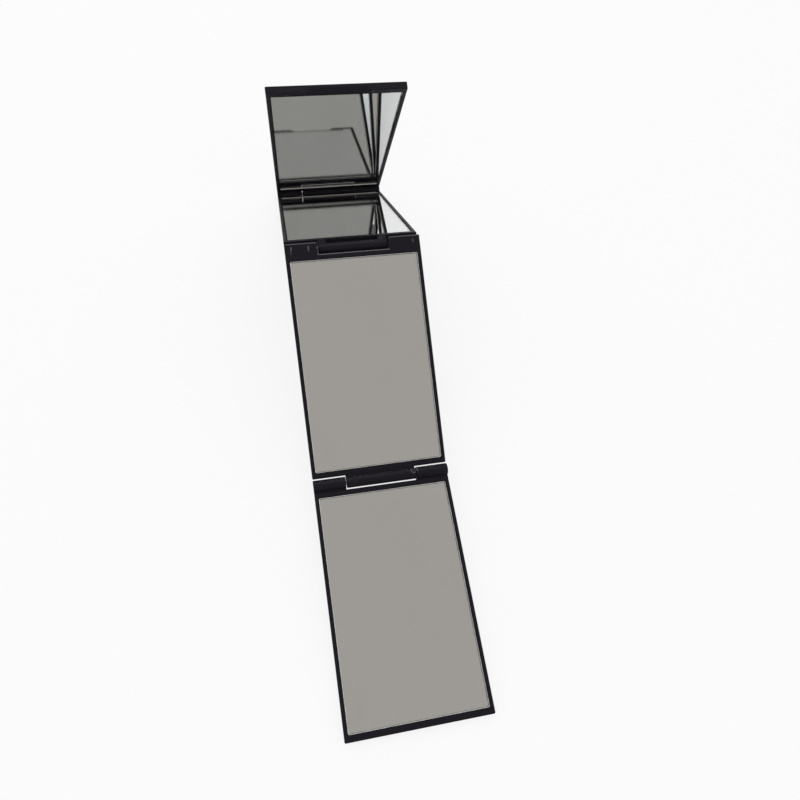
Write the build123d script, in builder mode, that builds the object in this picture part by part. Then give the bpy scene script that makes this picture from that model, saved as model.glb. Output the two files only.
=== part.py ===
from build123d import *
import math
import os

# Four-panel folding pocket mirror, standing in its zigzag on a table.
# Each panel is a thin moulded tray with a glass mirror bonded into its front. Neighbouring trays meet at a
# hinge of three knuckles: two on the lower panel's side lugs and one on the upper panel's centre tab.
# Panels 1 and 2 close mirror to mirror, 2 and 3 back to back, and 3 and 4 mirror to mirror.
# X runs across the width, Y away from the front edge, Z up. The origin is the middle of the footprint.

os.makedirs("parts", exist_ok=True)

# Panel tray, in millimetres
panel_width = 54.0
panel_thickness = 2.8
side_rim = 1.5
lower_end_rim = 2.3
top_end_rim = 2.4
hinge_strip = 2.05
corner_round = 0.5
edge_round = 0.3
rim_lip_break = 0.12

# Glass, the silvering and adhesive sheet behind it, and how they sit in the tray
glass_length = 83.2
glass_thickness = 1.1
glass_bevel = 0.3
glass_corner = 0.4
glass_side_clearance = 0.1
glass_sink = 0.12
silvering_thickness = 0.06
silvering_gap = 0.02
silvering_inset = 0.15
adhesive_thickness = 0.25
adhesive_inset = 1.5

# Hinge knuckles
knuckle_radius = 2.3
lug_overlap = 4.0
slot_to_axis = 2.75
tab_to_axis = 2.68
axis_stand_off = 0.4
side_lug_width = 12.8
knuckle_side_gap = 0.3
crease_round = 0.25
knuckle_end_break = 0.2
block_far_round = 0.8
ear_width = 3.5
ear_web_thickness = 1.2

# Hinge pins, pressed into the side lugs and free to turn in the centre tab
pin_radius = 0.6
pin_press_clearance = 0.01
pin_running_clearance = 0.05
pin_engagement = 6.0
pin_end_gap = 0.4
pin_sink = 0.2

# Thumb notch in the free end of the top panel: a scoop that rises to a shallow lip at the glass
notch_length = 30.2
notch_end_run = 5.5
notch_depth = 1.7
notch_lip_depth = 0.25
notch_head_room = 0.3

# Folds of the photographed zigzag, in degrees away from flat
lower_front_fold_angle = 20.3
back_fold_angle = 58.5
upper_front_fold_angle = 146.7

# Sizes that follow from the ones above
slot_end = lower_end_rim + glass_length + hinge_strip
top_panel_length = lower_end_rim + glass_length + top_end_rim
glass_middle = lower_end_rim + glass_length / 2
silvering_depth = glass_sink + glass_thickness + silvering_gap + silvering_thickness
pocket_depth = silvering_depth + adhesive_thickness
glass_width = panel_width - 2 * side_rim
tab_width = panel_width - 2 * side_lug_width - 2 * knuckle_side_gap
front_axis_height = axis_stand_off
back_axis_height = -panel_thickness - axis_stand_off
hinge_heights = [front_axis_height, back_axis_height, front_axis_height]
hinge_turns = [lower_front_fold_angle, -back_fold_angle, upper_front_fold_angle]
panel_lengths = [slot_end, slot_end, slot_end, top_panel_length]
pocket_clear_width = glass_width + 2 * glass_side_clearance
pocket_clear_length = glass_length + 2 * glass_side_clearance
lug_inner = panel_width / 2 - side_lug_width
lug_starts = [-panel_width / 2, lug_inner]
pin_length = side_lug_width - pin_sink + knuckle_side_gap + pin_engagement
pin_starts = {"left": pin_sink - panel_width / 2, "right": tab_width / 2 - pin_engagement}


def turn(point, angle):
    """Turn a side-view point (y, z) about the origin by an angle in degrees."""
    c, s = math.cos(math.radians(angle)), math.sin(math.radians(angle))
    return (point[0] * c - point[1] * s, point[0] * s + point[1] * c)


def shift(a, b):
    """Add two side-view points."""
    return (a[0] + b[0], a[1] + b[1])


def walk_panels(first_angle, first_start):
    """Follow the zigzag and return each panel's (start, angle) and each hinge axis, in side view."""
    start, angle = first_start, first_angle
    places, axes = [(start, angle)], []
    for height, fold in zip(hinge_heights, hinge_turns):
        axis = shift(start, turn((slot_end + slot_to_axis, height), angle))
        angle += fold
        start = shift(axis, turn((tab_to_axis, -height), angle))
        places.append((start, angle))
        axes.append(axis)
    return places, axes


def outline_circles(places, axes):
    """Return (centre, radius) for every rounded corner and knuckle seen from the side."""
    circles = [(axis, knuckle_radius) for axis in axes]
    for (start, angle), length in zip(places, panel_lengths):
        for along in (edge_round, length - edge_round):
            for height in (-edge_round, edge_round - panel_thickness):
                circles.append((shift(start, turn((along, height), angle)), edge_round))
    return circles


def resting_angle():
    """Return the first panel's slope when its free edge and the far knuckles stand on the table."""
    foot = (edge_round, edge_round - panel_thickness)
    slopes = []
    for (y, z), radius in outline_circles(*walk_panels(0.0, (0.0, 0.0))):
        reach = math.hypot(y - foot[0], z - foot[1])
        if reach > panel_thickness:
            slope = math.atan2(z - foot[1], y - foot[0]) - math.asin((radius - edge_round) / reach)
            slopes.append(math.degrees(slope))
    return -min(slopes)


def place_zigzag():
    """Return panel places and hinge axes with the table at Z = 0 and the footprint centred in Y."""
    slope = resting_angle()
    circles = outline_circles(*walk_panels(slope, (0.0, 0.0)))
    low = min(z - radius for (y, z), radius in circles)
    near = min(y - radius for (y, z), radius in circles)
    far = max(y + radius for (y, z), radius in circles)
    return walk_panels(slope, (-(near + far) / 2, -low))


def panel_plane(place):
    """Return a panel's plane: X across, Y along the panel from its lower end, Z out of the mirror."""
    (y, z), angle = place
    normal = turn((0.0, 1.0), angle)
    return Plane(origin=(0, y, z), x_dir=(1, 0, 0), z_dir=(0, normal[0], normal[1]))


def side_plane(panel, across):
    """Return the plane of a panel's side section at a given place across its width."""
    return Plane(origin=panel.from_local_coords(Vector(across, 0, 0)), x_dir=panel.y_dir, z_dir=panel.x_dir)


def tangent_point(point, centre, radius, side):
    """Return where the line from a point touches a circle, to the left (1) or right (-1) of its centre."""
    dy, dz = centre[0] - point[0], centre[1] - point[1]
    reach = math.hypot(dy, dz)
    angle = math.atan2(dz, dy) + side * math.asin(radius / reach)
    run = math.sqrt(reach ** 2 - radius ** 2)
    return (point[0] + run * math.cos(angle), point[1] + run * math.sin(angle))


def front_knuckle_section(plane, end, inward, axis_along):
    """Draw a knuckle that stands proud of the mirror side, on a web that is flush with the tray."""
    centre = (axis_along, front_axis_height)
    heel = tangent_point((end, -panel_thickness), centre, knuckle_radius, inward)
    crease = axis_along + inward * math.sqrt(knuckle_radius ** 2 - front_axis_height ** 2)
    with BuildSketch(plane) as section:
        with BuildLine():
            Polyline(
                (end + inward * lug_overlap, 0),
                (axis_along, 0),
                centre,
                heel,
                (end, -panel_thickness),
                (end + inward * lug_overlap, -panel_thickness),
                close=True,
            )
        make_face()
        with Locations(centre):
            Circle(knuckle_radius)
        fillet(section.vertices().sort_by_distance((crease, 0))[0], crease_round)
    return section.sketch


def back_block_section(plane, end, axis_along):
    """Draw a side lug of the back hinge: flat and flush in front, with its knuckle behind."""
    far = axis_along + knuckle_radius
    near = axis_along - knuckle_radius
    with BuildSketch(plane) as section:
        with BuildLine():
            Polyline(
                (end - lug_overlap, 0),
                (far, 0),
                (far, back_axis_height),
                (near, back_axis_height),
                (near, -panel_thickness),
                (end - lug_overlap, -panel_thickness),
                close=True,
            )
        make_face()
        with Locations((axis_along, back_axis_height)):
            Circle(knuckle_radius)
        fillet(section.vertices().sort_by_distance((far, 0))[0], block_far_round)
    return section.sketch


def back_tab_section(plane, top, front):
    """Draw a section of the back hinge's centre tab: its web runs from the tray's end to the knuckle."""
    centre = (-tab_to_axis, back_axis_height)
    near = knuckle_radius - tab_to_axis
    with BuildSketch(plane) as section:
        with BuildLine():
            Polyline(
                (lug_overlap, top),
                (0, top),
                front,
                centre,
                (near, back_axis_height),
                (near, -panel_thickness),
                (lug_overlap, -panel_thickness),
                close=True,
            )
        make_face()
        with Locations(centre):
            Circle(knuckle_radius)
        fillet(section.vertices().sort_by_distance((near, -panel_thickness))[0], crease_round)
    return section.sketch


def add_front_lugs(panel):
    """Add the two side lugs of a front hinge to the tray that is being built."""
    for left in lug_starts:
        section = front_knuckle_section(side_plane(panel, left), slot_end, -1, slot_end + slot_to_axis)
        extrude(section, amount=side_lug_width)


def add_back_lugs(panel):
    """Add the two side lugs of the back hinge to the tray that is being built."""
    for left in lug_starts:
        section = back_block_section(side_plane(panel, left), slot_end, slot_end + slot_to_axis)
        extrude(section, amount=side_lug_width)


def add_front_tab(panel):
    """Add the centre tab of a front hinge to the tray that is being built."""
    section = front_knuckle_section(side_plane(panel, -tab_width / 2), 0, 1, -tab_to_axis)
    extrude(section, amount=tab_width)


def add_back_tab(panel):
    """Add the back hinge's centre tab: a low web between two full-height ears."""
    web_top = ear_web_thickness - panel_thickness
    web = back_tab_section(side_plane(panel, -tab_width / 2), web_top, (-tab_to_axis, web_top))
    extrude(web, amount=tab_width)
    shoulder = tangent_point((0, 0), (-tab_to_axis, back_axis_height), knuckle_radius, -1)
    for left in (-tab_width / 2, tab_width / 2 - ear_width):
        extrude(back_tab_section(side_plane(panel, left), 0, shoulder), amount=ear_width)


def is_near(value, *targets):
    """Tell whether a length equals one of the targets."""
    return any(math.isclose(value, target, abs_tol=0.01) for target in targets)


def local_middle(panel, shape):
    """Return the middle of a face or edge as (across on either side, along, height) of its panel."""
    middle = panel.to_local_coords(shape.center())
    return (abs(middle.X), middle.Y, middle.Z)


def corner_edges(panel, edges, length, has_lugs):
    """Choose the upright edges at a tray's free corners."""
    ends = [0] if has_lugs else [0, length]
    upright = edges.filter_by(Axis(panel.origin, panel.z_dir))
    return upright.filter_by(
        lambda edge: is_near(local_middle(panel, edge)[0], panel_width / 2)
        and is_near(local_middle(panel, edge)[1], *ends)
    )


def rim_edges(panel, edges, length, has_lugs, has_tab):
    """Choose the edges round a tray's side faces, round its corners and along its free ends."""
    ends = [0] if has_lugs else [0, length]
    seams = [corner_round] if has_lugs else [corner_round, length - corner_round]

    def is_rim(edge):
        """Tell whether an edge belongs to the rounded outside of the tray."""
        across, along, height = local_middle(panel, edge)
        if is_near(across, panel_width / 2):
            return not is_near(along, *seams)
        if not is_near(height, 0, -panel_thickness):
            return False
        at_corner = across > panel_width / 2 - corner_round and edge.geom_type == GeomType.CIRCLE
        at_tab = has_tab and along < corner_round and across < tab_width / 2
        return at_corner or (is_near(along, *ends) and not at_tab)

    return edges.filter_by(is_rim)


def pocket_edges(panel, edges):
    """Choose the four front edges of the glass pocket."""

    def is_lip(edge):
        """Tell whether an edge lies on the pocket's outline, level with the front."""
        across, along, height = local_middle(panel, edge)
        on_side = is_near(across, pocket_clear_width / 2) and is_near(along, glass_middle)
        on_end = is_near(across, 0) and is_near(abs(along - glass_middle), pocket_clear_length / 2)
        return is_near(height, 0) and (on_side or on_end)

    return edges.filter_by(is_lip)


def knuckle_end_edges(panel, edges):
    """Choose the round edges of the knuckles' facing ends."""
    return edges.filter_by(
        lambda edge: edge.geom_type == GeomType.CIRCLE
        and is_near(edge.radius, knuckle_radius)
        and is_near(local_middle(panel, edge)[0], lug_inner, tab_width / 2)
    )


def cut_pocket(panel):
    """Cut the glass pocket into the tray that is being built."""
    with BuildSketch(panel) as pocket:
        with Locations((0, glass_middle)):
            Rectangle(pocket_clear_width, pocket_clear_length)
    extrude(pocket.sketch, amount=-pocket_depth, mode=Mode.SUBTRACT)


def cut_lug_holes(panel, axis_height):
    """Drill a pin hole right through both side lugs of the tray that is being built."""
    for left in lug_starts:
        with BuildSketch(side_plane(panel, left)) as hole:
            with Locations((slot_end + slot_to_axis, axis_height)):
                Circle(pin_radius + pin_press_clearance)
        extrude(hole.sketch, amount=side_lug_width, mode=Mode.SUBTRACT)


def cut_tab_holes(panel, axis_height):
    """Drill a blind pin hole into each end of the centre tab of the tray that is being built."""
    depth = pin_engagement + pin_end_gap
    for left in (-tab_width / 2, tab_width / 2 - depth):
        with BuildSketch(side_plane(panel, left)) as hole:
            with Locations((-tab_to_axis, axis_height)):
                Circle(pin_radius + pin_running_clearance)
        extrude(hole.sketch, amount=depth, mode=Mode.SUBTRACT)


def notch_section(plane, depth):
    """Draw the thumb notch across the panel's end: a flat floor with an S-shaped rise at each side."""
    half = notch_length / 2
    floor = half - notch_end_run
    with BuildSketch(plane) as section:
        with BuildLine():
            Spline((-half, notch_head_room), (-floor, -depth), tangents=[(1, 0), (1, 0)])
            Line((-floor, -depth), (floor, -depth))
            Spline((floor, -depth), (half, notch_head_room), tangents=[(1, 0), (1, 0)])
            Line((half, notch_head_room), (-half, notch_head_room))
        make_face()
    return section.sketch


def cut_thumb_notch(panel, length):
    """Cut the thumb notch into the free end of the tray that is being built."""
    sections = []
    for along, depth in ((length - top_end_rim + glass_side_clearance, notch_lip_depth), (length, notch_depth)):
        plane = Plane(
            origin=panel.from_local_coords(Vector(0, along, 0)), x_dir=panel.x_dir, z_dir=-panel.y_dir
        )
        sections.append(notch_section(plane, depth))
    loft(sections, ruled=True, mode=Mode.SUBTRACT)


def build_tray(panel, length, add_tab, add_lugs):
    """Build one tray's body: plate, hinge tab and side lugs, rounded edges and glass pocket."""
    with BuildPart() as tray:
        with BuildSketch(panel.offset(-panel_thickness)) as plate:
            with Locations((0, length / 2)):
                Rectangle(panel_width, length)
        extrude(plate.sketch, amount=panel_thickness)
        if add_lugs:
            add_lugs(panel)
        if add_tab:
            add_tab(panel)
        has_lugs, has_tab = add_lugs is not None, add_tab is not None
        fillet(corner_edges(panel, tray.edges(), length, has_lugs), corner_round)
        fillet(rim_edges(panel, tray.edges(), length, has_lugs, has_tab), edge_round)
        cut_pocket(panel)
        chamfer(pocket_edges(panel, tray.edges()), rim_lip_break)
    return tray


def build_glass(panel):
    """Build one clear glass plate: nipped corners, a seamed front edge, a little below the tray's front."""
    with BuildPart() as glass:
        with BuildSketch(panel.offset(-glass_sink - glass_thickness)) as outline:
            with Locations((0, glass_middle)):
                Rectangle(glass_width, glass_length)
            chamfer(outline.vertices(), glass_corner)
        extrude(outline.sketch, amount=glass_thickness)
        front = glass.faces().sort_by(Axis(panel.origin, panel.z_dir))[-1]
        chamfer(front.edges(), glass_bevel)
    return glass


def build_sheet(panel, depth, thickness, inset):
    """Build a plain sheet behind the glass, given its back's depth, its thickness and its inset all round."""
    with BuildPart() as sheet:
        with BuildSketch(panel.offset(-depth)) as outline:
            with Locations((0, glass_middle)):
                Rectangle(glass_width - 2 * inset, glass_length - 2 * inset)
        extrude(outline.sketch, amount=thickness)
    return sheet


def build_pin(panel, axis_height, left):
    """Build one hinge pin, from just inside a side lug's outer end to within the centre tab."""
    with BuildPart() as pin:
        with BuildSketch(side_plane(panel, left)) as profile:
            with Locations((slot_end + slot_to_axis, axis_height)):
                Circle(pin_radius)
        extrude(profile.sketch, amount=pin_length)
    return pin


def save(built, name):
    """Label one piece and write it to its own file."""
    built.part.label = name
    export_step(built.part, f"parts/{name}.step")


places, hinge_axes = place_zigzag()
panels = [panel_plane(place) for place in places]
lug_makers = [add_front_lugs, add_back_lugs, add_front_lugs, None]
tab_makers = [None, add_front_tab, add_back_tab, add_front_tab]

for number, (panel, length) in enumerate(zip(panels, panel_lengths), start=1):
    tray = build_tray(panel, length, tab_makers[number - 1], lug_makers[number - 1])
    with tray:
        chamfer(knuckle_end_edges(panel, tray.edges()), knuckle_end_break)
        if number > 1:
            cut_tab_holes(panel, hinge_heights[number - 2])
        if number < len(panels):
            cut_lug_holes(panel, hinge_heights[number - 1])
        else:
            cut_thumb_notch(panel, length)
    save(tray, f"panel_{number}_tray")
    silvering = build_sheet(panel, silvering_depth, silvering_thickness, silvering_inset)
    adhesive = build_sheet(panel, pocket_depth, adhesive_thickness, adhesive_inset)
    save(build_glass(panel), f"panel_{number}_glass")
    save(silvering, f"panel_{number}_silvering")
    save(adhesive, f"panel_{number}_adhesive")

for number, (panel, axis_height) in enumerate(zip(panels, hinge_heights), start=1):
    for side, left in pin_starts.items():
        save(build_pin(panel, axis_height, left), f"hinge_{number}_pin_{side}")

for number, (across_y, across_z) in enumerate(hinge_axes, start=1):
    print(f"hinge {number} axis at Y {across_y:.3f}, Z {across_z:.3f}")
for number, ((start_y, start_z), slope) in enumerate(places, start=1):
    print(f"panel {number} starts at Y {start_y:.3f}, Z {start_z:.3f} and slopes {slope:.3f} degrees")
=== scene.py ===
"""Dresses the four-panel folding pocket mirror for the studio camera.

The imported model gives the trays, mirrors, bonding sheets and hinge pins. This script gives each of
them its finish, adds the ground seam round every mirror, and sets the floor, the light and the camera.
"""

import logging
import math
from dataclasses import dataclass, field
from enum import Enum
from typing import ClassVar

import bpy
from mathutils import Matrix, Vector


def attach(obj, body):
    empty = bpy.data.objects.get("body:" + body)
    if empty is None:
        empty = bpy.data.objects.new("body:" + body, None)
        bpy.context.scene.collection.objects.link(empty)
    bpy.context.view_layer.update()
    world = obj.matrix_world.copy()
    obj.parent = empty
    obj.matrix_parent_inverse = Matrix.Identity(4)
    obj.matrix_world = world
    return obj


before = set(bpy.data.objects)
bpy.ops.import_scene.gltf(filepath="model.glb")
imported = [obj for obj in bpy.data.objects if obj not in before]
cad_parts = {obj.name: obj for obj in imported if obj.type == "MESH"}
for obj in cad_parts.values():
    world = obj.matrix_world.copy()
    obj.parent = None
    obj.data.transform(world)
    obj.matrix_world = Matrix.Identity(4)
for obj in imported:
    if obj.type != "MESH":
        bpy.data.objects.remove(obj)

logging.basicConfig(level=logging.INFO, format="%(message)s")
LOG = logging.getLogger("folding_mirror")

MM = 0.001
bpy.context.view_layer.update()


class PinSide(Enum):
    """The two ends of a hinge."""

    LEFT = "left"
    RIGHT = "right"


class Ray(Enum):
    """The Light Path outputs that tell one kind of ray from another."""

    CAMERA = "Is Camera Ray"
    GLOSSY = "Is Glossy Ray"
    TRANSMISSION = "Is Transmission Ray"


class Bench:
    """A small helper that adds and joins nodes in one tree."""

    def __init__(self, tree: bpy.types.NodeTree) -> None:
        """Take the tree to build in.

        Args:
            tree: the shader or geometry tree.
        """
        self.tree = tree

    def node(self, kind: str, **settings: object) -> bpy.types.Node:
        """Add one node.

        Args:
            kind: the node's type name.
            settings: attributes to set on the node.

        Returns:
            The new node.
        """
        made = self.tree.nodes.new(kind)
        for name, value in settings.items():
            setattr(made, name, value)
        return made

    def feed(self, socket: bpy.types.NodeSocket, source: object) -> None:
        """Link an output to a socket, or set the socket's own value.

        Args:
            socket: the input to fill.
            source: an output socket, or a plain value.
        """
        if isinstance(source, bpy.types.NodeSocket):
            self.tree.links.new(source, socket)
        else:
            socket.default_value = source

    def math(
        self, operation: str, first: object, second: object = 0.0, clamp: bool = False
    ) -> bpy.types.NodeSocket:
        """Add a Math node.

        Args:
            operation: the node's operation.
            first: the first value or output.
            second: the second value or output.
            clamp: whether to keep the result between 0 and 1.

        Returns:
            The result's socket.
        """
        made = self.node("ShaderNodeMath", operation=operation, use_clamp=clamp)
        self.feed(made.inputs[0], first)
        self.feed(made.inputs[1], second)
        return made.outputs[0]

    def ramp(
        self, value: object, low: float, high: float, out_low: float = 0.0, out_high: float = 1.0
    ) -> bpy.types.NodeSocket:
        """Map a range of values smoothly onto another.

        Args:
            value: the value to map.
            low: where the result is out_low.
            high: where the result is out_high.
            out_low: the result at low.
            out_high: the result at high.

        Returns:
            The result's socket.
        """
        made = self.node("ShaderNodeMapRange", interpolation_type="SMOOTHSTEP")
        for socket, number in zip(made.inputs, (value, low, high, out_low, out_high)):
            self.feed(socket, number)
        return made.outputs[0]

    def noise(
        self, vector: object, scale: float, detail: float = 3.0, roughness: float = 0.55
    ) -> bpy.types.NodeSocket:
        """Add a Noise texture.

        Args:
            vector: the coordinates to read it at.
            scale: the texture's scale, per metre of the coordinates.
            detail: the number of finer layers.
            roughness: how strong the finer layers are.

        Returns:
            The noise value's socket.
        """
        made = self.node("ShaderNodeTexNoise")
        self.feed(made.inputs["Vector"], vector)
        made.inputs["Scale"].default_value = scale
        made.inputs["Detail"].default_value = detail
        made.inputs["Roughness"].default_value = roughness
        return made.outputs[0]

    def tint(self, amount: object, first: object, second: tuple) -> bpy.types.NodeSocket:
        """Mix two colours.

        Args:
            amount: how much of the second colour to take.
            first: the first colour, or the output that gives it.
            second: the second colour.

        Returns:
            The mixed colour's socket.
        """
        made = self.node("ShaderNodeMix", data_type="RGBA")
        self.feed(made.inputs["Factor"], amount)
        self.feed(made.inputs["A"], first if isinstance(first, bpy.types.NodeSocket) else (*first, 1.0))
        self.feed(made.inputs["B"], (*second, 1.0))
        return made.outputs["Result"]

    def bump(self, shader: bpy.types.Node, height: object, strength: float, distance: float) -> None:
        """Give a shader a fine relief.

        Args:
            shader: the shader node.
            height: the output that gives the relief's height.
            strength: how strongly it shows.
            distance: the relief's full height, in metres.
        """
        made = self.node("ShaderNodeBump")
        made.inputs["Strength"].default_value = strength
        made.inputs["Distance"].default_value = distance
        self.feed(made.inputs["Height"], height)
        self.feed(shader.inputs["Normal"], made.outputs["Normal"])


def new_material(name: str) -> tuple[bpy.types.Material, Bench, bpy.types.Node]:
    """Make an empty node material with one Principled shader.

    Args:
        name: the material's name.

    Returns:
        The material, a bench on its tree, and the shader node.
    """
    material = bpy.data.materials.new(name)
    material.use_nodes = True
    bench = Bench(material.node_tree)
    shader = next(node for node in material.node_tree.nodes if node.type == "BSDF_PRINCIPLED")
    return material, bench, shader


@dataclass(frozen=True)
class PanelPlace:
    """Where one panel stands in side view: its lower end at the mirror side, and its slope.

    A point of the panel is (across, along, out): X, the way up the panel, and out of the mirror.
    """

    number: int
    start_y: float
    start_z: float
    slope: float

    def matrix(self) -> Matrix:
        """Return the matrix from panel coordinates to the part's frame, in metres."""
        turn = Matrix.Rotation(math.radians(self.slope), 4, "X")
        return Matrix.Translation(Vector((0.0, self.start_y * MM, self.start_z * MM))) @ turn

    def coordinates(self, bench: Bench) -> bpy.types.NodeSocket:
        """Add nodes that turn Object coordinates into panel coordinates.

        Args:
            bench: the material's bench.

        Returns:
            The vector socket, in metres.
        """
        source = bench.node("ShaderNodeTexCoord")
        mapping = bench.node("ShaderNodeMapping", vector_type="TEXTURE")
        bench.feed(mapping.inputs["Vector"], source.outputs["Object"])
        mapping.inputs["Location"].default_value = (0.0, self.start_y * MM, self.start_z * MM)
        mapping.inputs["Rotation"].default_value = (math.radians(self.slope), 0.0, 0.0)
        return mapping.outputs["Vector"]


@dataclass(frozen=True)
class ScuffAndGlint:
    """One light mark on a tray, in panel coordinates and millimetres: a real rub mark, or a painted
    highlight on an edge or corner where light catches it.
    """

    across: float
    along: float
    wide: float
    long: float
    lean: float
    strength: float


@dataclass(frozen=True)
class SatinPlastic:
    """Black injection-moulded plastic with a satin face, a fine spark-eroded grain, rubbed edges, and
    light marks that are partly real rub marks and partly painted highlights.
    """

    base: tuple = (0.0090, 0.0077, 0.0126)
    rubbed: tuple = (0.050, 0.048, 0.052)
    # The grey of the light marks: real rub marks, and painted highlights on edges and corners.
    scuff_and_glint_grey: tuple = (0.160, 0.155, 0.165)
    roughness: float = 0.40
    smoother: float = 0.025
    rougher: float = 0.035
    worn_roughness: float = 0.14
    index: float = 1.5
    specular: float = 0.15
    patch_scale: float = 90.0
    speck_scale: float = 1400.0
    grain_scale: float = 5200.0
    grain_height: float = 0.000012
    grain_strength: float = 0.35
    edge_width: float = 0.35
    edge_wear_amount: float = 0.75
    longest_fade: float = 0.6
    shortest_core: float = 0.4

    def build(self, place: PanelPlace, half_width: float, scuffs_and_glints: tuple[ScuffAndGlint, ...]) -> bpy.types.Material:
        """Make the material of one tray.

        Args:
            place: the tray's place.
            half_width: half the tray's width, in millimetres.
            scuffs_and_glints: the tray's light marks, real rub marks and painted edge highlights.

        Returns:
            The material.
        """
        material, bench, shader = new_material(f"satin_black_plastic_{place.number}")
        local = place.coordinates(bench)
        axes = bench.node("ShaderNodeSeparateXYZ")
        bench.feed(axes.inputs[0], local)
        across = bench.math("ABSOLUTE", axes.outputs["X"])
        patches = bench.noise(local, self.patch_scale)
        specks = bench.noise(local, self.speck_scale, detail=2.0)
        worn = self.edge_wear(bench, axes, across, half_width, specks)
        colour, marks = bench.tint(worn, self.base, self.rubbed), worn
        # Each listed mark tints the colour lighter: some are real rub marks, the others are painted
        # highlights along edges and corners where light catches the tray.
        for scuff_and_glint in scuffs_and_glints:
            mark = self.rub_and_glint(bench, local, scuff_and_glint, specks)
            colour, marks = bench.tint(mark, colour, self.scuff_and_glint_grey), bench.math("MAXIMUM", marks, mark)
        bench.feed(shader.inputs["Base Color"], colour)
        smooth, rough = self.roughness - self.smoother, self.roughness + self.rougher
        plain = bench.ramp(patches, 0.3, 0.7, smooth, rough)
        worn_part = bench.math("MULTIPLY", marks, self.worn_roughness)
        bench.feed(shader.inputs["Roughness"], bench.math("ADD", plain, worn_part))
        shader.inputs["IOR"].default_value = self.index
        shader.inputs["Specular IOR Level"].default_value = self.specular
        grain = bench.noise(local, self.grain_scale, detail=2.0)
        bench.bump(shader, grain, self.grain_strength, self.grain_height)
        return material

    def edge_wear(
        self, bench: Bench, axes: bpy.types.Node, across: object, half_width: float, specks: object
    ) -> bpy.types.NodeSocket:
        """Mask the rubbed outer edges of a tray.

        Args:
            bench: the material's bench.
            axes: the node that splits the panel coordinates.
            across: the distance from the tray's middle plane.
            half_width: half the tray's width, in millimetres.
            specks: fine noise that breaks the wear up.

        Returns:
            The mask's socket.
        """
        side = bench.ramp(across, (half_width - self.edge_width) * MM, half_width * MM)
        front = bench.ramp(axes.outputs["Z"], -self.edge_width * 1.6 * MM, -0.05 * MM)
        edge = bench.math("MULTIPLY", side, front)
        broken = bench.ramp(specks, 0.42, 0.68)
        return bench.math("MULTIPLY", bench.math("MULTIPLY", edge, broken), self.edge_wear_amount)

    def rub_and_glint(self, bench: Bench, local: object, scuff_and_glint: ScuffAndGlint, specks: object) -> bpy.types.NodeSocket:
        """Mask one light mark, a real rub mark or a painted edge highlight.

        Args:
            bench: the material's bench.
            local: the panel coordinates.
            scuff_and_glint: the mark.
            specks: fine noise that breaks the mark up.

        Returns:
            The mask's socket.
        """
        mapping = bench.node("ShaderNodeMapping", vector_type="TEXTURE")
        bench.feed(mapping.inputs["Vector"], local)
        mapping.inputs["Location"].default_value = (scuff_and_glint.across * MM, scuff_and_glint.along * MM, 0.0)
        mapping.inputs["Rotation"].default_value = (0.0, 0.0, math.radians(scuff_and_glint.lean))
        parts = bench.node("ShaderNodeSeparateXYZ")
        bench.feed(parts.inputs[0], mapping.outputs["Vector"])
        spread = []
        for axis, size in (("X", scuff_and_glint.wide), ("Y", scuff_and_glint.long)):
            core = max(self.shortest_core * size, size - self.longest_fade)
            away = bench.math("ABSOLUTE", parts.outputs[axis])
            spread.append(bench.ramp(away, core * MM, size * MM, 1.0, 0.0))
        broken = bench.ramp(specks, 0.2, 0.5, 0.5, 1.0)
        mark = bench.math("MULTIPLY", bench.math("MULTIPLY", *spread), broken)
        return bench.math("MULTIPLY", mark, scuff_and_glint.strength, clamp=True)


@dataclass(frozen=True)
class ClearGlass:
    """Clear float glass, polished in front, with faint handling smears."""

    clear: tuple = (0.985, 0.988, 0.990)
    smear: tuple = (0.965, 0.967, 0.968)
    smear_roughness: float = 0.012
    smear_scale: float = 38.0
    index: float = 1.52

    def build(self, place: PanelPlace) -> bpy.types.Material:
        """Make the material of one glass plate.

        Args:
            place: the panel that carries the glass.

        Returns:
            The material.
        """
        material, bench, shader = new_material(f"clear_glass_{place.number}")
        local = place.coordinates(bench)
        smears = bench.noise(local, self.smear_scale + place.number, detail=4.0)
        haze = bench.ramp(smears, 0.56, 0.82)
        bench.feed(shader.inputs["Base Color"], bench.tint(haze, self.clear, self.smear))
        bench.feed(shader.inputs["Roughness"], bench.math("MULTIPLY", haze, self.smear_roughness))
        shader.inputs["IOR"].default_value = self.index
        shader.inputs["Transmission Weight"].default_value = 1.0
        return material


@dataclass(frozen=True)
class SilverCoat:
    """The silver on the back of the glass, a little uneven."""

    silver: tuple = (0.918, 0.926, 0.927)
    thin: tuple = (0.905, 0.913, 0.913)
    cloud_scale: float = 22.0

    def build(self, place: PanelPlace) -> bpy.types.Material:
        """Make the material of one silver coat.

        Args:
            place: the panel that carries the coat.

        Returns:
            The material.
        """
        material, bench, shader = new_material(f"silver_coat_{place.number}")
        cloud = bench.noise(place.coordinates(bench), self.cloud_scale + place.number, detail=2.0)
        colour = bench.tint(bench.ramp(cloud, 0.4, 0.7), self.silver, self.thin)
        bench.feed(shader.inputs["Base Color"], colour)
        shader.inputs["Roughness"].default_value = 0.0
        shader.inputs["Metallic"].default_value = 1.0
        return material


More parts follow.
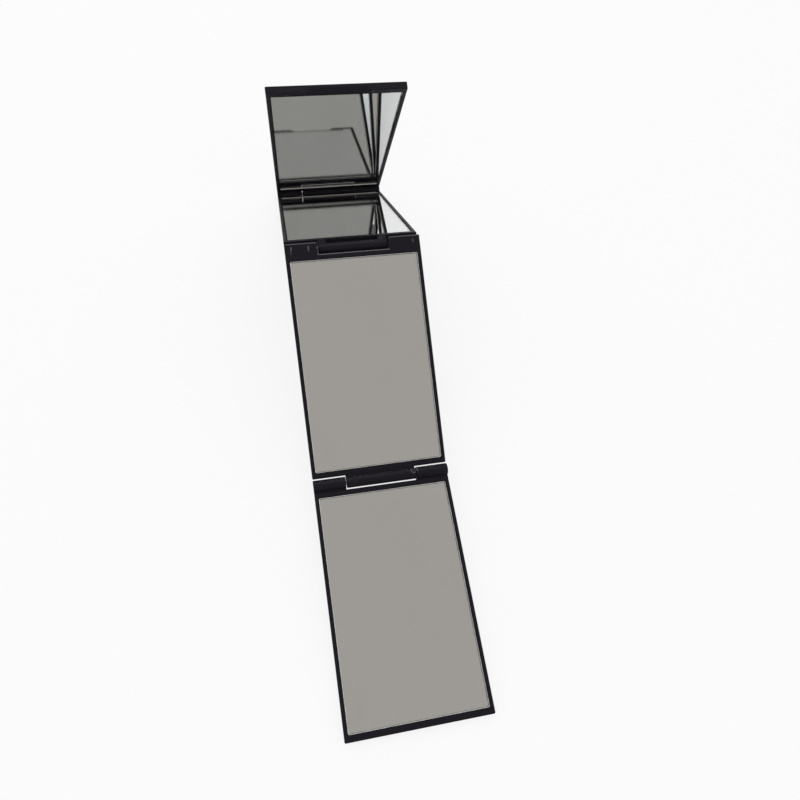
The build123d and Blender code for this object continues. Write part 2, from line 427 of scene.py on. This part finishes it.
@dataclass(frozen=True)
class GroundGlass:
    """The matt ground seam of a mirror's edge, and how far it reaches up the bevel, in millimetres."""

    name: str
    pale: tuple
    dull: tuple
    arris: float
    roughness: float = 0.42
    rougher: float = 0.2
    chip_scale: float = 420.0
    grit_scale: float = 3600.0
    grit_height: float = 0.00003
    index: float = 1.52

    def build(self) -> bpy.types.Material:
        """Make the material.

        Returns:
            The material.
        """
        material, bench, shader = new_material(self.name)
        source = bench.node("ShaderNodeTexCoord")
        chips = bench.noise(source.outputs["Object"], self.chip_scale, detail=4.0)
        colour = bench.tint(bench.ramp(chips, 0.4, 0.66), self.pale, self.dull)
        bench.feed(shader.inputs["Base Color"], colour)
        rough = bench.ramp(chips, 0.3, 0.7, self.roughness, self.roughness + self.rougher)
        bench.feed(shader.inputs["Roughness"], rough)
        shader.inputs["IOR"].default_value = self.index
        bench.bump(shader, bench.noise(source.outputs["Object"], self.grit_scale), 0.5, self.grit_height)
        return material


@dataclass(frozen=True)
class DrawnSteel:
    """Plain drawn wire, for the hinge pins."""

    metal: tuple = (0.46, 0.455, 0.45)
    streak: tuple = (0.33, 0.325, 0.32)
    streak_scale: float = 6000.0
    stretch: tuple = (0.06, 1.0, 1.0)

    def build(self) -> bpy.types.Material:
        """Make the material.

        Returns:
            The material.
        """
        material, bench, shader = new_material("drawn_steel_wire")
        source = bench.node("ShaderNodeTexCoord")
        stretch = bench.node("ShaderNodeMapping")
        bench.feed(stretch.inputs["Vector"], source.outputs["Object"])
        stretch.inputs["Scale"].default_value = self.stretch
        streaks = bench.noise(stretch.outputs["Vector"], self.streak_scale)
        colour = bench.tint(bench.ramp(streaks, 0.35, 0.7), self.metal, self.streak)
        bench.feed(shader.inputs["Base Color"], colour)
        bench.feed(shader.inputs["Roughness"], bench.ramp(streaks, 0.3, 0.7, 0.24, 0.4))
        shader.inputs["Metallic"].default_value = 1.0
        return material


@dataclass(frozen=True)
class BondingTape:
    """White foam tape behind the mirrors."""

    foam: tuple = (0.62, 0.61, 0.57)
    cell: tuple = (0.5, 0.49, 0.455)
    cell_scale: float = 2600.0
    cell_height: float = 0.00005
    roughness: float = 0.85

    def build(self) -> bpy.types.Material:
        """Make the material.

        Returns:
            The material.
        """
        material, bench, shader = new_material("foam_bonding_tape")
        source = bench.node("ShaderNodeTexCoord")
        cells = bench.noise(source.outputs["Object"], self.cell_scale)
        colour = bench.tint(bench.ramp(cells, 0.4, 0.65), self.foam, self.cell)
        bench.feed(shader.inputs["Base Color"], colour)
        shader.inputs["Roughness"].default_value = self.roughness
        bench.bump(shader, cells, 0.6, self.cell_height)
        return material


@dataclass
class SeamMaker:
    """Sweeps the ground seam round a mirror's edge with Geometry Nodes, as a thin shell on the bevel."""

    width: float = 51.0
    length: float = 83.2
    sink: float = 0.12
    bevel: float = 0.3
    shell: float = 0.015
    corner: float = 0.4
    tree: bpy.types.NodeTree = field(init=False)
    SECTION: ClassVar[tuple[str, ...]] = ("Foot", "Head", "Head Back", "Foot Back")

    def __post_init__(self) -> None:
        """Build the tree once; every mirror uses it."""
        self.tree = self.build_tree()

    def build_tree(self) -> bpy.types.NodeTree:
        """Build the seam's tree: a nipped rectangle, swept with a thin four-cornered section.

        Returns:
            The geometry tree, with its sizes and the section's corners as named inputs.
        """
        tree = bpy.data.node_groups.new("ground_band", "GeometryNodeTree")
        for name in ("Width", "Length", "Corner"):
            tree.interface.new_socket(name, in_out="INPUT", socket_type="NodeSocketFloat")
        for name in self.SECTION:
            tree.interface.new_socket(name, in_out="INPUT", socket_type="NodeSocketVector")
        tree.interface.new_socket("Material", in_out="INPUT", socket_type="NodeSocketMaterial")
        tree.interface.new_socket("Band", in_out="OUTPUT", socket_type="NodeSocketGeometry")
        bench = Bench(tree)
        given = bench.node("NodeGroupInput")
        result = bench.node("NodeGroupOutput")
        path = bench.node("GeometryNodeCurvePrimitiveQuadrilateral", mode="RECTANGLE")
        bench.feed(path.inputs["Width"], given.outputs["Width"])
        bench.feed(path.inputs["Height"], given.outputs["Length"])
        nipped = bench.node("GeometryNodeFilletCurve")
        bench.feed(nipped.inputs["Curve"], path.outputs["Curve"])
        bench.feed(nipped.inputs["Radius"], given.outputs["Corner"])
        section = bench.node("GeometryNodeCurvePrimitiveQuadrilateral", mode="POINTS")
        for number, name in enumerate(self.SECTION, start=1):
            bench.feed(section.inputs[f"Point {number}"], given.outputs[name])
        sweep = bench.node("GeometryNodeCurveToMesh")
        bench.feed(sweep.inputs["Curve"], nipped.outputs["Curve"])
        bench.feed(sweep.inputs["Profile Curve"], section.outputs["Curve"])
        realize = bench.node("GeometryNodeRealizeInstances")
        bench.feed(realize.inputs["Geometry"], sweep.outputs["Mesh"])
        dress = bench.node("GeometryNodeSetMaterial")
        bench.feed(dress.inputs["Geometry"], realize.outputs["Geometry"])
        bench.feed(dress.inputs["Material"], given.outputs["Material"])
        bench.feed(result.inputs["Band"], dress.outputs["Geometry"])
        return tree

    def socket(self, name: str) -> str:
        """Return the identifier of one of the tree's inputs.

        Args:
            name: the input's name.

        Returns:
            The socket's identifier.
        """
        return next(item.identifier for item in self.tree.interface.items_tree if item.name == name)

    def corners(self, arris: float) -> tuple[tuple[float, float], ...]:
        """Give the seam's section, as distances inward from the outline and up from the mirror's face.

        Args:
            arris: how far the seam reaches up the bevel.

        Returns:
            The section's four corners, in millimetres.
        """
        head = arris - self.bevel
        return (0.0, -self.bevel), (arris, head), (arris, head + self.shell), (-self.shell, -self.bevel)

    def make(
        self, place: PanelPlace, middle: float, arris: float, material: bpy.types.Material
    ) -> bpy.types.Object:
        """Make one mirror's seam as a plain mesh in the part's frame.

        Args:
            place: the panel that carries the mirror.
            middle: how far up the panel the mirror's middle lies, in millimetres.
            arris: how far the seam reaches up the bevel, in millimetres.
            material: the seam's finish.

        Returns:
            The seam's object.
        """
        bare = bpy.data.objects.new("band_source", bpy.data.meshes.new("band_source"))
        bpy.context.scene.collection.objects.link(bare)
        modifier = bare.modifiers.new("band", "NODES")
        modifier.node_group = self.tree
        for size, value in {"Width": self.width, "Length": self.length, "Corner": self.corner}.items():
            modifier[self.socket(size)] = value * MM
        # The sweep lays the section's X outward and its Y down, so both are turned round here.
        for corner, (inward, up) in zip(self.SECTION, self.corners(arris)):
            modifier[self.socket(corner)] = (-inward * MM, -up * MM, 0.0)
        modifier[self.socket("Material")] = material
        depsgraph = bpy.context.evaluated_depsgraph_get()
        mesh = bpy.data.meshes.new_from_object(bare.evaluated_get(depsgraph), depsgraph=depsgraph)
        bpy.data.objects.remove(bare)
        mesh.name = f"mirror_seam_{place.number}"
        face = Matrix.Translation(Vector((0.0, middle * MM, -self.sink * MM)))
        mesh.transform(place.matrix() @ face)
        seam = bpy.data.objects.new(mesh.name, mesh)
        bpy.context.scene.collection.objects.link(seam)
        return seam


@dataclass
class Panel:
    """One tray with its mirror, its bonding sheet and its ground seam."""

    place: PanelPlace
    scuffs_and_glints: tuple[ScuffAndGlint, ...] = ()
    width: float = 54.0
    glass_middle: float = 43.9
    plastic: SatinPlastic = field(default_factory=SatinPlastic)
    glass: ClearGlass = field(default_factory=ClearGlass)
    silvering: SilverCoat = field(default_factory=SilverCoat)

    @property
    def body(self) -> str:
        """Return the name of the body that this panel is."""
        return f"panel_{self.place.number}"

    def dress(self, tape: bpy.types.Material) -> None:
        """Give the tray, the mirror and the bonding sheet their finishes.

        Args:
            tape: the bonding sheet's material.
        """
        put_on(f"{self.body}_tray", self.plastic.build(self.place, self.width / 2, self.scuffs_and_glints))
        put_on(f"{self.body}_glass", self.glass.build(self.place))
        put_on(f"{self.body}_silvering", self.silvering.build(self.place))
        put_on(f"{self.body}_adhesive", tape)
        # The count takes in the painted edge highlights as well as the real rub marks.
        LOG.info("%s: tray, mirror and bonding sheet dressed, %d rub marks", self.body, len(self.scuffs_and_glints))

    def add_seam(self, maker: SeamMaker, arris: float, material: bpy.types.Material) -> None:
        """Add the mirror's ground seam, which rides on the panel.

        Args:
            maker: the seams' builder.
            arris: how far the seam reaches up the bevel, in millimetres.
            material: the seam's finish.
        """
        band = maker.make(self.place, self.glass_middle, arris, material)
        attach(band, self.body)
        LOG.info("%s: %s of %d faces", self.body, band.name, len(band.data.polygons))


@dataclass
class Hinge:
    """One hinge's two pins."""

    number: int

    def dress(self, steel: bpy.types.Material) -> None:
        """Give both pins their finish.

        Args:
            steel: the pins' material.
        """
        for side in PinSide:
            put_on(f"hinge_{self.number}_pin_{side.value}", steel)
        LOG.info("hinge %d: pins dressed", self.number)


def put_on(node: str, material: bpy.types.Material) -> None:
    """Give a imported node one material.

    Args:
        node: the node's name.
        material: its finish.
    """
    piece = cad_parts[node]
    for slot in piece.material_slots:
        slot.material = material


@dataclass
class Studio:
    """The floor, the light and the camera."""

    floor_size: float = 6.0
    floor_white: float = 0.76
    floor_lift: float = 0.83
    mirrored_lift: float = 0.20
    floor_roughness: float = 0.9
    ceiling_grey: tuple = (0.378, 0.357, 0.330)
    wall_white: tuple = (0.93, 0.93, 0.92)
    end_wall_shade: tuple = (0.150, 0.148, 0.145)
    end_wall_fade: tuple = (0.50, 0.80)
    ceiling_fade: tuple = (0.30, 0.55)
    lamp_size: tuple = (0.8, 0.5)
    lamp_watts: float = 2.4
    lamp_place: tuple = (-0.1, 0.62, 0.9)
    camera_place: tuple = (-0.02715566, -0.113232, 0.22874121)
    camera_turn: tuple = (25.6253641, -4.5315528, -9.8017141)
    focal_length: float = 25.9505
    shift: tuple = (0.01402, 0.02219)

    def build(self) -> None:
        """Set up the whole studio."""
        self.lay_floor()
        self.light_world()
        self.hang_lamps()
        self.place_camera()
        bpy.context.scene.view_settings.view_transform = "Standard"
        LOG.info("studio ready")

    def mirrored(self, bench: Bench, path: bpy.types.Node) -> bpy.types.NodeSocket:
        """Tell what is seen in mirrors, metal or through glass from everything else.

        Args:
            bench: the tree's bench.
            path: the tree's Light Path node.

        Returns:
            A socket that is 1 for such rays.
        """
        return bench.math("MAXIMUM", path.outputs[Ray.GLOSSY.value], path.outputs[Ray.TRANSMISSION.value])

    def lay_floor(self) -> None:
        """Lay the pale floor, which reads as white to the camera and keeps a soft shadow."""
        half = self.floor_size / 2
        mesh = bpy.data.meshes.new("floor")
        corners = [(-half, -half, 0), (half, -half, 0), (half, half, 0), (-half, half, 0)]
        mesh.from_pydata(corners, [], [(0, 1, 2, 3)])
        floor = bpy.data.objects.new("floor", mesh)
        bpy.context.scene.collection.objects.link(floor)
        material, bench, shader = new_material("pale_floor")
        shader.inputs["Base Color"].default_value = (*(self.floor_white,) * 3, 1.0)
        shader.inputs["Roughness"].default_value = self.floor_roughness
        glow = bench.node("ShaderNodeEmission")
        path = bench.node("ShaderNodeLightPath")
        mix = bench.node("ShaderNodeMixShader")
        seen = bench.math("MULTIPLY", path.outputs[Ray.CAMERA.value], self.floor_lift)
        mirrored = bench.math("MULTIPLY", self.mirrored(bench, path), self.mirrored_lift)
        bench.feed(mix.inputs["Fac"], bench.math("MAXIMUM", seen, mirrored))
        bench.feed(mix.inputs[1], shader.outputs["BSDF"])
        bench.feed(mix.inputs[2], glow.outputs["Emission"])
        output = next(node for node in material.node_tree.nodes if node.type == "OUTPUT_MATERIAL")
        bench.feed(output.inputs["Surface"], mix.outputs["Shader"])
        mesh.materials.append(material)

    def light_world(self) -> None:
        """Light from all round; mirrors see a grey ceiling, white side walls and shaded end walls."""
        world = bpy.data.worlds.new("studio")
        bpy.context.scene.world = world
        world.use_nodes = True
        bench = Bench(world.node_tree)
        background = next(node for node in world.node_tree.nodes if node.type == "BACKGROUND")
        source = bench.node("ShaderNodeTexCoord")
        axes = bench.node("ShaderNodeSeparateXYZ")
        bench.feed(axes.inputs[0], source.outputs["Generated"])
        path = bench.node("ShaderNodeLightPath")
        mirrored = self.mirrored(bench, path)
        ends = bench.ramp(bench.math("ABSOLUTE", axes.outputs["Y"]), *self.end_wall_fade)
        overhead = bench.ramp(axes.outputs["Z"], *self.ceiling_fade)
        walls = bench.tint(bench.math("MULTIPLY", ends, mirrored), self.wall_white, self.end_wall_shade)
        room = bench.tint(bench.math("MULTIPLY", overhead, mirrored), walls, self.ceiling_grey)
        bench.feed(background.inputs["Color"], room)
        background.inputs["Strength"].default_value = 1.0

    def hang_lamps(self) -> None:
        """Hang one broad soft lamp behind and above the mirror."""
        lamp = bpy.data.lights.new("broad_lamp", "AREA")
        lamp.shape = "RECTANGLE"
        lamp.size, lamp.size_y = self.lamp_size
        lamp.energy = self.lamp_watts
        holder = bpy.data.objects.new("broad_lamp", lamp)
        holder.location = self.lamp_place
        holder.rotation_euler = (-Vector(self.lamp_place)).to_track_quat("-Z", "Y").to_euler()
        bpy.context.scene.collection.objects.link(holder)

    def place_camera(self) -> None:
        """Place the camera at the photograph's viewing angle."""
        lens = bpy.data.cameras.new("camera")
        lens.sensor_fit = "HORIZONTAL"
        lens.sensor_width = 36.0
        lens.lens = self.focal_length
        lens.shift_x, lens.shift_y = self.shift
        lens.clip_start = 0.01
        camera = bpy.data.objects.new("camera", lens)
        camera.location = self.camera_place
        camera.rotation_euler = tuple(math.radians(angle) for angle in self.camera_turn)
        bpy.context.scene.collection.objects.link(camera)
        bpy.context.scene.camera = camera


PLACES = (
    PanelPlace(1, -128.8210, 2.7588, 5.6041),
    PanelPlace(2, -36.4062, 12.7859, 25.9041),
    PanelPlace(3, 50.2008, 50.6086, -32.5959),
    PanelPlace(4, 125.7638, 4.9097, 114.1041),
)

# Light marks for each tray. Some are real rub marks, the others are painted highlights, as marked below.
SCUFFS_AND_GLINTS: dict[int, tuple[ScuffAndGlint, ...]] = {
    1: (
        # Painted highlight on the inner corner of the right lug at hinge 1.
        ScuffAndGlint(14.5, 91.2, 0.3, 1.1, 0.0, 0.5),
    ),
    2: (
        # Small light scratch marks on the side blocks at hinge 2.
        ScuffAndGlint(-24.4, 90.3, 0.28, 1.1, -6.0, 0.75),
        ScuffAndGlint(-24.7, 88.7, 0.25, 0.8, -4.0, 0.35),
        ScuffAndGlint(-17.7, 90.1, 0.27, 1.3, -4.0, 0.7),
        ScuffAndGlint(24.15, 90.2, 0.26, 1.0, -5.0, 0.5),
        # Painted highlight along the slot's edge under the centre knuckle at hinge 2.
        ScuffAndGlint(0.0, 87.42, 14.1, 0.22, 0.0, 0.85),
        # Painted highlights along the far top edges of the two side blocks at hinge 2.
        ScuffAndGlint(-20.4, 92.2, 6.2, 0.32, 0.0, 0.45),
        ScuffAndGlint(20.4, 92.2, 6.2, 0.32, 0.0, 0.45),
        # Painted highlights at the slot's left and right corners, where the floor shows through the gap.
        ScuffAndGlint(-14.1, 87.6, 0.35, 0.3, 0.0, 1.0),
        ScuffAndGlint(14.1, 87.5, 0.4, 0.35, 0.0, 1.0),
        # Light V-shaped marks at the right end of the centre knuckle at hinge 1.
        ScuffAndGlint(12.25, -1.3, 0.28, 0.85, 6.0, 0.5),
        ScuffAndGlint(13.1, -2.15, 0.65, 0.24, -8.0, 0.7),
        ScuffAndGlint(13.45, -0.95, 0.24, 0.45, 8.0, 0.5),
        ScuffAndGlint(13.8, -1.75, 0.24, 0.35, 30.0, 0.6),
    ),
}

# The two seams are one ground glass in a lit and a shaded copy. Round mirrors 1 and 2 the seam is partly
# the pale colour of ground glass and partly a painted highlight line; round mirrors 3 and 4, which face
# each other in the crease, the dark copy is painted shade.
PAINTED_HIGHLIGHT_SEAM = GroundGlass("ground_seam_painted_highlight", (0.90, 0.91, 0.90), (0.66, 0.67, 0.66), 0.24)
PAINTED_SHADE_SEAM = GroundGlass("ground_seam_painted_shade", (0.20, 0.21, 0.205), (0.07, 0.075, 0.072), 0.05)
SEAMS: dict[int, GroundGlass] = {1: PAINTED_HIGHLIGHT_SEAM, 2: PAINTED_HIGHLIGHT_SEAM, 3: PAINTED_SHADE_SEAM, 4: PAINTED_SHADE_SEAM}

HINGES = (1, 2, 3)
BOUNCES = (64, 32, 48)      # in all, glossy, and through glass: facing mirrors behind glass need many


def main() -> None:
    """Build and dress everything in order."""
    tape = BondingTape().build()
    steel = DrawnSteel().build()
    ground = {finish.name: finish.build() for finish in (PAINTED_HIGHLIGHT_SEAM, PAINTED_SHADE_SEAM)}
    maker = SeamMaker()
    for place in PLACES:
        panel = Panel(place, SCUFFS_AND_GLINTS.get(place.number, ()))
        seam = SEAMS[place.number]
        panel.dress(tape)
        panel.add_seam(maker, seam.arris, ground[seam.name])
    for number in HINGES:
        Hinge(number).dress(steel)
    Studio().build()
    cycles = bpy.context.scene.cycles
    cycles.max_bounces, cycles.glossy_bounces, cycles.transmission_bounces = BOUNCES


if __name__ == "__main__":
    main()
